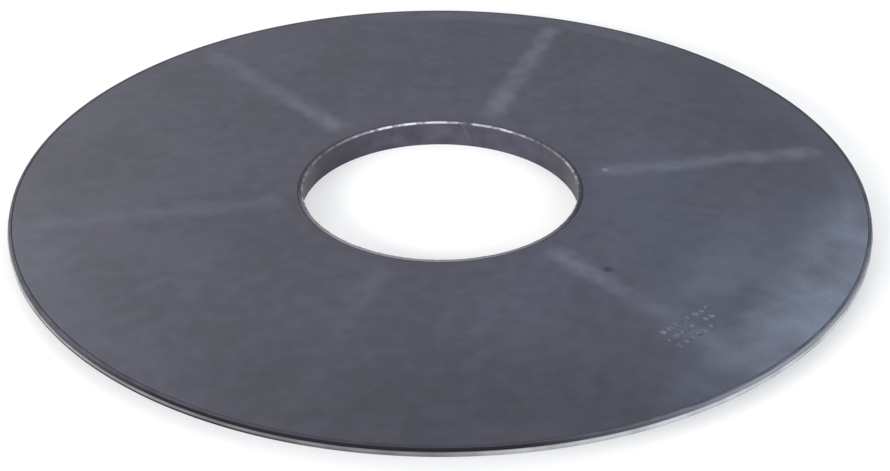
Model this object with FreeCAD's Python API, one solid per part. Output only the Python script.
import FreeCAD, Part
import math
import os

# A large ring-shaped circle template, in millimetres.
#
# A flat annular face plate stands on a deep hoop that lines its hole, with a flat collar round the hoop.
# Six tapered T-section ribs run under the plate from the hoop to a flat backing ring, and a narrow edge
# strip follows the rim of the plate.
# The origin is the centre of the hoop's foot, +Z points up, and the first rib runs along +X.

# Driving dimensions
OUTER_RADIUS = 300.0          # the backing ring, the widest piece
BORE_RADIUS = 97.8            # the clear hole through the hoop
TOTAL_HEIGHT = 20.0           # from the hoop's foot to the working face

PLATE_THICKNESS = 3.0
PLATE_ARRIS = 0.5             # rounding of the plate's top edges

EDGE_STRIP_WIDTH = 2.0
EDGE_STRIP_ARRIS = 0.5
RIM_SEAM = 0.5                # open seam between the plate and the edge strip

BACKING_WIDTH = 22.5
BACKING_THICKNESS = 3.2
BACKING_OVERHANG = 0.9        # how far the backing ring stands out past the edge strip
BACKING_ARRIS = 0.7

HOOP_THICKNESS = 2.2
HOOP_ARRIS = 0.4              # bevel of the hoop's four rims
HUB_SEAM = 0.5                # open seam between the hoop and the plate

COLLAR_WIDTH = 12.0           # the flat ring under the plate, round the hoop
COLLAR_THICKNESS = 2.0

JOINT_AZIMUTH = 67.5          # degrees from the first rib to the joint where the hoop's ends meet
JOINT_SLANT = 25.0            # degrees that the joint leans from upright, its top away from the first rib
JOINT_WIDTH = 1.2
JOINT_DEPTH = 0.6

RIB_COUNT = 6
RIB_FLANGE_WIDTH = 13.5
RIB_FLANGE_THICKNESS = 2.0
RIB_WEB_THICKNESS = 3.0
RIB_ROOT_CLEARANCE = 2.0      # height of the web's lower edge above the foot, at the hoop
RIB_TIP_DROP = 2.0            # how far the web's lower edge is below the backing ring, at the rim

# Worked out from them
PLATE_BOTTOM = TOTAL_HEIGHT - PLATE_THICKNESS
STRIP_OUTER = OUTER_RADIUS - BACKING_OVERHANG
STRIP_INNER = STRIP_OUTER - EDGE_STRIP_WIDTH
PLATE_OUTER = STRIP_INNER - RIM_SEAM
BACKING_INNER = OUTER_RADIUS - BACKING_WIDTH
BACKING_BOTTOM = PLATE_BOTTOM - BACKING_THICKNESS
HOOP_OUTER = BORE_RADIUS + HOOP_THICKNESS
PLATE_INNER = HOOP_OUTER + HUB_SEAM
COLLAR_OUTER = HOOP_OUTER + COLLAR_WIDTH
COLLAR_BOTTOM = PLATE_BOTTOM - COLLAR_THICKNESS
RIB_FLANGE_BOTTOM = PLATE_BOTTOM - RIB_FLANGE_THICKNESS
RIB_TIP_BOTTOM = BACKING_BOTTOM - RIB_TIP_DROP

ORIGIN = FreeCAD.Vector(0, 0, 0)
UP = FreeCAD.Vector(0, 0, 1)


def revolve(section):
    """Solid of revolution about Z from a closed section, given as (radius, height) points."""
    points = [FreeCAD.Vector(radius, 0, height) for radius, height in section]
    wire = Part.makePolygon(points + points[:1])
    return Part.Face(wire).revolve(ORIGIN, UP, 360)


def flat_ring(inner, outer, bottom, top):
    """Ring with a rectangular section."""
    return revolve([(inner, bottom), (outer, bottom), (outer, top), (inner, top)])


def is_rim(edge, radius, height):
    """Whether an edge is the circle about Z with that radius, at that height."""
    if not isinstance(edge.Curve, Part.Circle):
        return False
    return math.isclose(edge.Curve.Radius, radius) and math.isclose(edge.Curve.Center.z, height)


def round_edges(shape, size, rims):
    """Round the circular edges that lie at the given (radius, height) pairs."""
    chosen = [edge for edge in shape.Edges if any(is_rim(edge, *rim) for rim in rims)]
    return shape.makeFillet(size, chosen).Solids[0]


def make_face_plate():
    """Flat annular plate: the working surface."""
    plate = flat_ring(PLATE_INNER, PLATE_OUTER, PLATE_BOTTOM, TOTAL_HEIGHT)
    return round_edges(plate, PLATE_ARRIS, [(PLATE_INNER, TOTAL_HEIGHT), (PLATE_OUTER, TOTAL_HEIGHT)])


def make_edge_strip():
    """Narrow lip round the plate, flush with its face and standing on the backing ring."""
    strip = flat_ring(STRIP_INNER, STRIP_OUTER, PLATE_BOTTOM, TOTAL_HEIGHT)
    return round_edges(strip, EDGE_STRIP_ARRIS, [(STRIP_INNER, TOTAL_HEIGHT), (STRIP_OUTER, TOTAL_HEIGHT)])


def make_backing_ring():
    """Flat ring under the rim, a little wider than everything above it."""
    ring = flat_ring(BACKING_INNER, OUTER_RADIUS, BACKING_BOTTOM, PLATE_BOTTOM)
    return round_edges(ring, BACKING_ARRIS, [(OUTER_RADIUS, PLATE_BOTTOM), (OUTER_RADIUS, BACKING_BOTTOM)])


def make_hub_hoop():
    """Deep hoop round the hole, with a slanted joint line in its bore."""
    hoop = revolve([
        (BORE_RADIUS + HOOP_ARRIS, 0),
        (HOOP_OUTER - HOOP_ARRIS, 0),
        (HOOP_OUTER, HOOP_ARRIS),
        (HOOP_OUTER, TOTAL_HEIGHT - HOOP_ARRIS),
        (HOOP_OUTER - HOOP_ARRIS, TOTAL_HEIGHT),
        (BORE_RADIUS + HOOP_ARRIS, TOTAL_HEIGHT),
        (BORE_RADIUS, TOTAL_HEIGHT - HOOP_ARRIS),
        (BORE_RADIUS, HOOP_ARRIS),
    ])

    cutter = Part.makeBox(2 * JOINT_DEPTH, JOINT_WIDTH, 2 * TOTAL_HEIGHT)
    cutter.translate(FreeCAD.Vector(-JOINT_DEPTH, -JOINT_WIDTH / 2, -TOTAL_HEIGHT))
    cutter.rotate(ORIGIN, FreeCAD.Vector(1, 0, 0), -JOINT_SLANT)
    cutter.translate(FreeCAD.Vector(BORE_RADIUS, 0, TOTAL_HEIGHT / 2))
    cutter.rotate(ORIGIN, UP, JOINT_AZIMUTH)
    return hoop.cut(cutter).Solids[0]


def make_hub_collar():
    """Flat ring that joins the hoop to the underside of the plate."""
    return flat_ring(HOOP_OUTER, COLLAR_OUTER, COLLAR_BOTTOM, PLATE_BOTTOM)


def make_rib():
    """T-section rib along +X: a flat flange against the plate, and a web that tapers towards the rim."""
    bar = Part.makeBox(OUTER_RADIUS, RIB_FLANGE_WIDTH, RIB_FLANGE_THICKNESS)
    bar.translate(FreeCAD.Vector(0, -RIB_FLANGE_WIDTH / 2, RIB_FLANGE_BOTTOM))
    flange = bar.common(flat_ring(COLLAR_OUTER, BACKING_INNER, RIB_FLANGE_BOTTOM, PLATE_BOTTOM))

    corners = [
        FreeCAD.Vector(BORE_RADIUS, 0, RIB_FLANGE_BOTTOM),
        FreeCAD.Vector(BACKING_INNER, 0, RIB_FLANGE_BOTTOM),
        FreeCAD.Vector(BACKING_INNER, 0, RIB_TIP_BOTTOM),
        FreeCAD.Vector(BORE_RADIUS, 0, RIB_ROOT_CLEARANCE),
    ]
    side = Part.Face(Part.makePolygon(corners + corners[:1]))
    side.translate(FreeCAD.Vector(0, -RIB_WEB_THICKNESS / 2, 0))
    web = side.extrude(FreeCAD.Vector(0, RIB_WEB_THICKNESS, 0))
    web = web.common(flat_ring(HOOP_OUTER, BACKING_INNER, 0, RIB_FLANGE_BOTTOM))
    return flange.fuse(web).removeSplitter().Solids[0]


def turned(shape, degrees):
    """Copy of a shape, turned about Z."""
    copy = shape.copy()
    copy.rotate(ORIGIN, UP, degrees)
    return copy


def make_nodes():
    """Every node of the template, by name."""
    nodes = {
        "face_plate": make_face_plate(),
        "edge_strip": make_edge_strip(),
        "backing_ring": make_backing_ring(),
        "hub_hoop": make_hub_hoop(),
        "hub_collar": make_hub_collar(),
    }
    rib = make_rib()
    for index in range(RIB_COUNT):
        nodes[f"rib_{index + 1}"] = turned(rib, index * 360 / RIB_COUNT)
    return nodes


os.makedirs("parts", exist_ok=True)
for name, shape in make_nodes().items():
    shape.exportStep(f"parts/{name}.step")
    print(name, shape.ShapeType, len(shape.Solids), round(shape.Volume, 1), shape.isValid())
